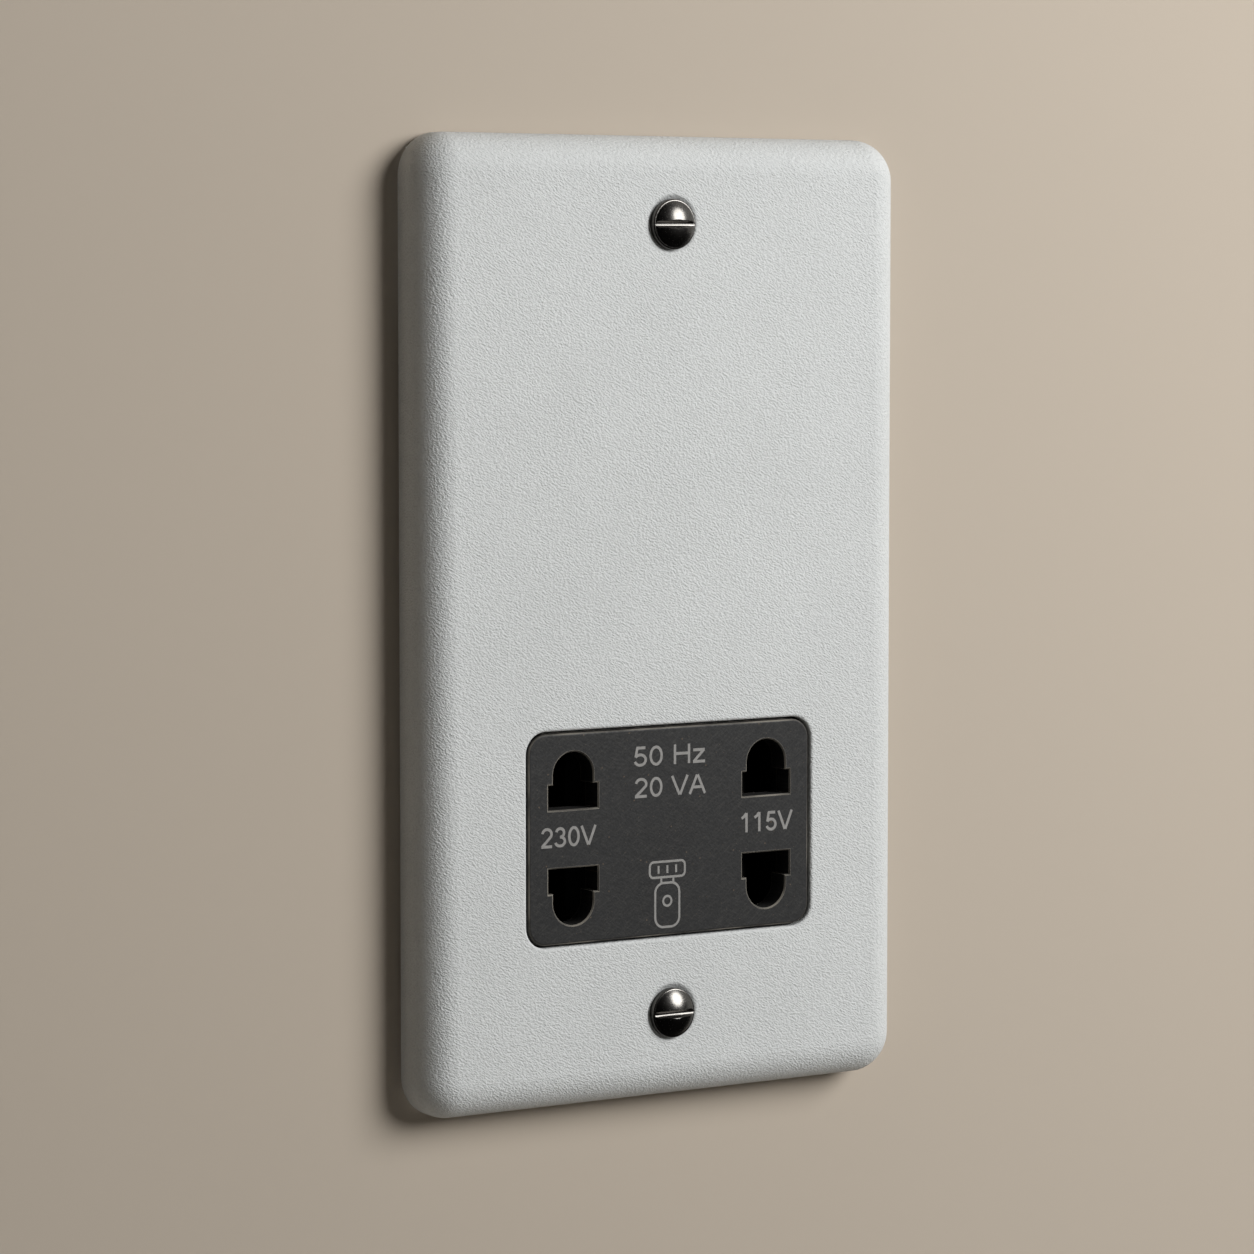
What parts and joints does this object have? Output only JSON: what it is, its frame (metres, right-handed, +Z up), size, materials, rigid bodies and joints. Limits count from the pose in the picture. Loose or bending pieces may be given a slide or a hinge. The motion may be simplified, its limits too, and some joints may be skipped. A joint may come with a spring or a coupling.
{
  "type": "shaver socket",
  "caption": "Tall flat wall plate with a black insert of two-pin plug apertures for two voltages, domed slotted fixing screws, and a transformer housing with wire terminals behind.",
  "frame": {"origin": "middle of the plate on the wall plane, halfway between the two fixing screws", "axes": "+X to the right seen from the front, +Y into the wall, +Z up the plate"},
  "size_m": [0.087, 0.0464, 0.1474],
  "materials": {
    "plate_coat": "fine-textured powder coat",
    "dark_nickel": "polished dark nickel",
    "insert_black": "satin moulded",
    "slider_black": "moulded",
    "frame_grey": "moulded",
    "block_black": "moulded",
    "housing_white": "moulded",
    "bronze": "phosphor bronze strip",
    "brass": "machined",
    "zinc_steel": "zinc plated",
    "core_steel": "varnished laminations",
    "bobbin_plastic": "moulded",
    "copper": "enamelled copper wire",
    "tape": "polyester tape",
    "cutout_case": "moulded",
    "lead_brown": "pvc sleeve",
    "lead_blue": "pvc sleeve",
    "lead_black": "pvc sleeve",
    "lead_white": "pvc sleeve",
    "lead_red": "pvc sleeve"
  },
  "bodies": {
    "unit": {"front_plate": "plate_coat", "fixing_screws": "dark_nickel", "socket_insert": "insert_black", "contact_block": "block_black", "common_contact": "bronze", "contact_230v": "bronze", "contact_115v": "bronze", "mounting_frame": "frame_grey", "frame_washers": "zinc_steel", "frame_nuts": "zinc_steel", "rear_housing": "housing_white", "housing_screws": "zinc_steel", "terminal_live": "brass", "terminal_neutral": "brass", "terminal_earth": "brass", "terminal_screws": "zinc_steel", "core_e_laminations": "core_steel", "core_i_laminations": "core_steel", "coil_bobbin": "bobbin_plastic", "primary_winding": "copper", "secondary_winding": "copper", "winding_tape": "tape", "bobbin_tags": "brass", "thermal_cutout": "cutout_case", "transformer_clamp": "zinc_steel", "clamp_screws": "zinc_steel", "live_lead": "lead_brown", "cutout_lead": "lead_brown", "neutral_lead": "lead_blue", "common_lead": "lead_black", "lead_115v": "lead_white", "lead_230v": "lead_red"},
    "slider": {"interlock_slider": "slider_black"}
  },
  "joints": [
    {"name": "interlock_slide", "type": "slide", "parent": "unit", "child": "slider", "axis": [-1, 0, 0], "range_m": [0, 0.0093]}
  ]
}
